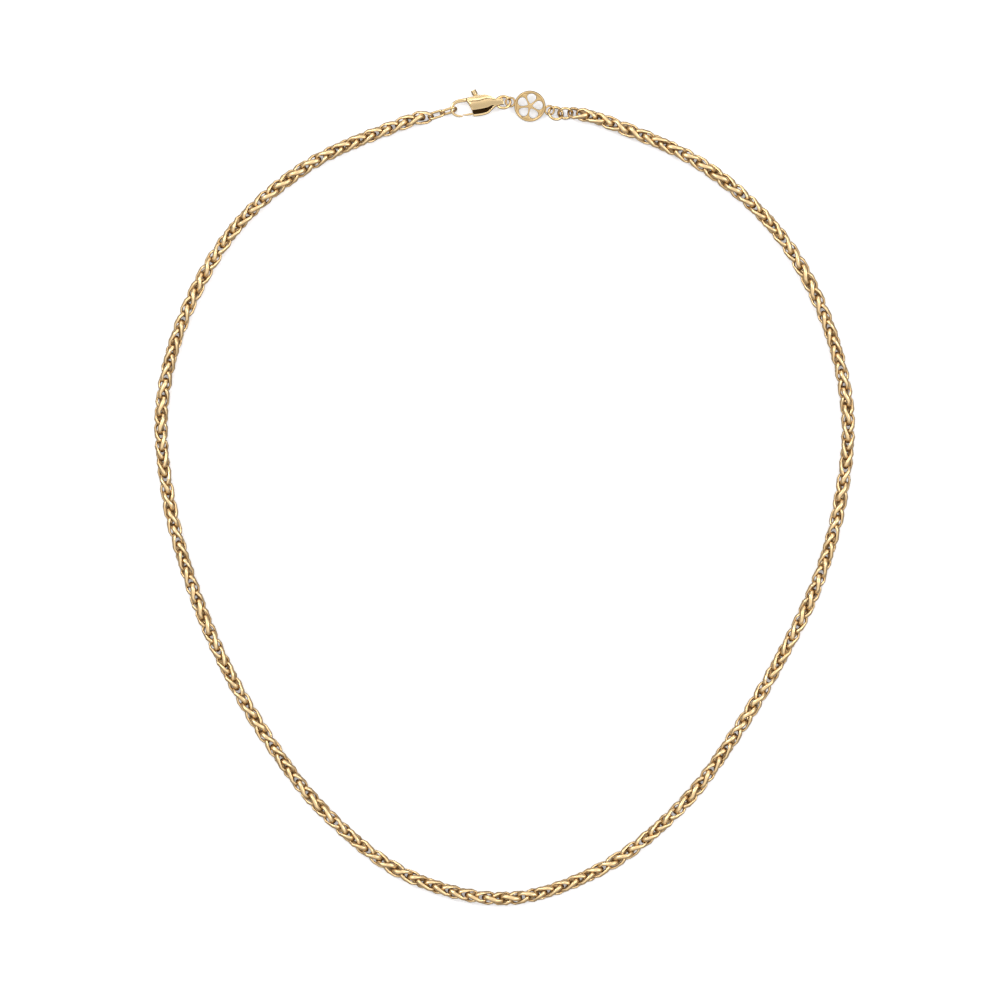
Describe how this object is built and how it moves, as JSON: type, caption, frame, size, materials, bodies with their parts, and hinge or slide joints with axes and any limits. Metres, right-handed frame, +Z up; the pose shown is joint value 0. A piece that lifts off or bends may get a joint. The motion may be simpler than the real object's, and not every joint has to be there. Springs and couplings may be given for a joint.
{
  "type": "wheat chain necklace",
  "caption": "Gold wheat chain necklace lying as a closed loop, with a lobster clasp, plain end links, jump rings and a round pierced tag.",
  "frame": {"origin": "centre of the loop's box, on the surface that the necklace lies on", "axes": "+X to the right, +Y towards the clasp and tag, +Z up from the surface"},
  "size_m": [0.1522, 0.1774, 0.003],
  "materials": {
    "wheat_gold": "polished yellow gold wire",
    "wire_gold": "polished yellow gold wire",
    "clasp_gold": "cast and polished yellow gold",
    "tag_gold": "polished rim, satin pierced field"
  },
  "bodies": {
    "necklace": {"left_strand": "wheat_gold", "right_strand": "wheat_gold", "end_link_1": "wire_gold", "end_link_2": "wire_gold", "clasp_body": "clasp_gold", "clasp_pin": "clasp_gold", "clasp_ring": "wire_gold", "tag": "tag_gold", "tag_ring": "wire_gold", "chain_ring": "wire_gold"},
    "lever": {"clasp_lever": "clasp_gold"}
  },
  "joints": [
    {"name": "lever_hinge", "type": "hinge", "parent": "necklace", "child": "lever", "pos_m": [-0.00532, 0.08527, 0.0012], "axis": [0, 0, -1], "range_deg": [0, 20], "stiffness_Nm_per_rad": 0.003, "springref_deg": -5.73}
  ]
}
